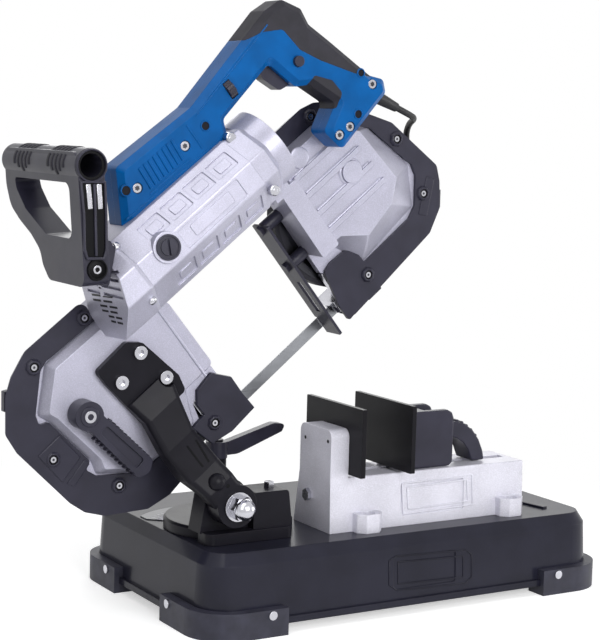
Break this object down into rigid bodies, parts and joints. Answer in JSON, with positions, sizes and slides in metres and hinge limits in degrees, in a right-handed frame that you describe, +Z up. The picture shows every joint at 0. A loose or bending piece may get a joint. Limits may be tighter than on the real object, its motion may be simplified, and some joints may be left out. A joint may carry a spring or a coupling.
{
  "type": "portable band saw",
  "caption": "Portable band saw with motor, trigger handle and front loop handle, tilting on a swivel turret over a bench base with a quick vise",
  "frame": {"origin": "on the floor under the centre of the whole object's box without its lead", "axes": "+X along the long side of the base towards the vise, +Y away from the operator, +Z up"},
  "size_m": [0.6708, 0.3164, 0.6296],
  "materials": {
    "base_black": "glossy black moulded pan",
    "foot_rubber": "satin black rubber",
    "bright_screw": "bright plated steel",
    "vise_alloy": "bright satin aluminium",
    "jaw_black": "satin black steel",
    "scale_grey": "grey plate with fine ticks",
    "black_iron": "black painted casting",
    "silver_casting": "silver painted die casting",
    "black_plastic": "matt black plastic",
    "blue_plastic": "mid blue moulded plastic",
    "grip_black": "soft black overmould",
    "wheel_alloy": "machined aluminium",
    "wheel_tyre": "black rubber band",
    "blade_steel": "bright band steel",
    "bare_steel": "turned steel",
    "winding_copper": "copper winding on a steel core",
    "cord_rubber": "satin black cable jacket"
  },
  "bodies": {
    "stand": {"base_pan": "base_black", "rubber_feet": "foot_rubber", "stand_screws": "bright_screw", "vise_bolts": "bright_screw", "vise_body": "vise_alloy", "fixed_jaw_plate": "jaw_black", "swivel_pin": "bare_steel", "degree_scale": "scale_grey"},
    "turret": {"turret": "black_iron", "stop_screw": "bright_screw", "pivot_bolt": "bare_steel", "pivot_nut": "bright_screw"},
    "lock_lever": {"miter_lock_lever": "black_plastic"},
    "saw": {"main_frame": "silver_casting", "gear_case": "silver_casting", "idler_guard": "black_plastic", "drive_guard": "black_plastic", "lower_guide_cover": "black_plastic", "guide_block_lower": "bare_steel", "guide_block_upper": "bare_steel", "work_stop": "jaw_black", "blade": "blade_steel", "arm_bracket": "black_iron", "cap_screws": "bright_screw", "housing_screws": "bright_screw", "motor_housing": "silver_casting", "motor_end_cap": "silver_casting", "stator": "winding_copper", "brush_cap": "black_plastic", "handle_front": "blue_plastic", "handle_back": "blue_plastic", "grip_overmould": "grip_black", "handle_pins": "bare_steel", "switch_unit": "black_plastic", "front_handle": "black_plastic", "strain_relief": "cord_rubber", "cord": "cord_rubber", "cord_coil": "cord_rubber", "cord_tie": "black_plastic", "plug": "cord_rubber"},
    "tension": {"tension_lever": "black_plastic", "tension_cam": "bright_screw"},
    "carriage": {"idler_carriage": "bare_steel"},
    "idler": {"idler_wheel": "wheel_alloy", "idler_tyre": "wheel_tyre"},
    "drive": {"drive_wheel": "wheel_alloy", "drive_tyre": "wheel_tyre", "drive_shaft": "bare_steel"},
    "rotor": {"armature": "winding_copper"},
    "roller_lf": {"roller_lower_front": "bare_steel"},
    "roller_lr": {"roller_lower_rear": "bare_steel"},
    "roller_uf": {"roller_upper_front": "bare_steel"},
    "roller_ur": {"roller_upper_rear": "bare_steel"},
    "trigger": {"trigger": "black_plastic"},
    "button": {"lock_button": "black_plastic"},
    "dial": {"speed_dial": "black_plastic"},
    "jaw": {"moving_jaw_block": "black_plastic", "clamp_pin": "bare_steel"},
    "clamp": {"clamp_lever": "black_plastic"},
    "jaw_plate": {"moving_jaw_plate": "jaw_black"}
  },
  "joints": [
    {"name": "turret_swivel", "type": "hinge", "parent": "stand", "child": "turret", "pos_m": [-0.08777, -0.03, 0.084], "axis": [0, 0, 1], "range_deg": [0, 45]},
    {"name": "saw_lower", "type": "hinge", "parent": "turret", "child": "saw", "pos_m": [-0.12177, 0, 0.125], "axis": [0, 1, 0], "range_deg": [0, 45]},
    {"name": "lock_turn", "type": "hinge", "parent": "turret", "child": "lock_lever", "pos_m": [-0.06777, 0.036, 0.15], "axis": [0, 0, 1], "range_deg": [0, 60]},
    {"name": "tension_turn", "type": "hinge", "parent": "saw", "child": "tension", "pos_m": [-0.2596, -0.036, 0.21647], "axis": [0, 1, 0], "range_deg": [0, 180]},
    {"name": "idler_shift", "type": "slide", "parent": "saw", "child": "carriage", "axis": [0.7749, 0, 0.632], "range_m": [0, 0.006]},
    {"name": "idler_spin", "type": "hinge", "parent": "carriage", "child": "idler", "pos_m": [-0.18681, 0, 0.21583], "axis": [0, 1, 0], "continuous": true},
    {"name": "drive_spin", "type": "hinge", "parent": "saw", "child": "drive", "pos_m": [0.05419, 0, 0.41239], "axis": [0, 1, 0], "continuous": true},
    {"name": "rotor_spin", "type": "hinge", "parent": "saw", "child": "rotor", "pos_m": [-0.16417, -0.072, 0.41432], "axis": [0.7749, 0, 0.632], "continuous": true},
    {"name": "roller_lf_spin", "type": "hinge", "parent": "saw", "child": "roller_lf", "pos_m": [-0.07154, -0.00762, 0.20075], "axis": [-0.632, 0, 0.7749], "continuous": true},
    {"name": "roller_lr_spin", "type": "hinge", "parent": "saw", "child": "roller_lr", "pos_m": [-0.07154, 0.00762, 0.20075], "axis": [-0.632, 0, 0.7749], "continuous": true},
    {"name": "roller_uf_spin", "type": "hinge", "parent": "saw", "child": "roller_uf", "pos_m": [0.05931, -0.00762, 0.30746], "axis": [-0.632, 0, 0.7749], "continuous": true},
    {"name": "roller_ur_spin", "type": "hinge", "parent": "saw", "child": "roller_ur", "pos_m": [0.05931, 0.00762, 0.30746], "axis": [-0.632, 0, 0.7749], "continuous": true},
    {"name": "trigger_pull", "type": "hinge", "parent": "saw", "child": "trigger", "pos_m": [-0.0878, -0.072, 0.56434], "axis": [0, -1, 0], "range_deg": [0, 9], "stiffness_Nm_per_rad": 0.6},
    {"name": "button_push", "type": "slide", "parent": "saw", "child": "button", "axis": [0, 1, 0], "range_m": [0, 0.0025], "stiffness_N_per_m": 200},
    {"name": "dial_turn", "type": "hinge", "parent": "saw", "child": "dial", "pos_m": [-0.12942, -0.085, 0.53943], "axis": [0.7749, 0, 0.632], "range_deg": [0, 300]},
    {"name": "jaw_slide", "type": "slide", "parent": "stand", "child": "jaw", "axis": [1, 0, 0], "range_m": [-0.053, 0.06]},
    {"name": "clamp_flip", "type": "hinge", "parent": "jaw", "child": "clamp", "pos_m": [0.12823, -0.074, 0.1823], "axis": [0, -1, 0], "range_deg": [0, 90]},
    {"name": "plate_clamp", "type": "slide", "parent": "jaw", "child": "jaw_plate", "axis": [1, 0, 0], "range_m": [0, 0.0025]}
  ],
  "couplings": [
    {"joint": "tension_turn", "follows": "idler_shift", "rad_per_m": 523.59},
    {"joint": "idler_spin", "follows": "drive_spin", "ratio": 1},
    {"joint": "rotor_spin", "follows": "drive_spin", "ratio": 20},
    {"joint": "roller_lf_spin", "follows": "drive_spin", "ratio": 11.786},
    {"joint": "roller_lr_spin", "follows": "drive_spin", "ratio": -11.786},
    {"joint": "roller_uf_spin", "follows": "drive_spin", "ratio": 11.786},
    {"joint": "roller_ur_spin", "follows": "drive_spin", "ratio": -11.786},
    {"joint": "clamp_flip", "follows": "plate_clamp", "rad_per_m": 628.3}
  ]
}
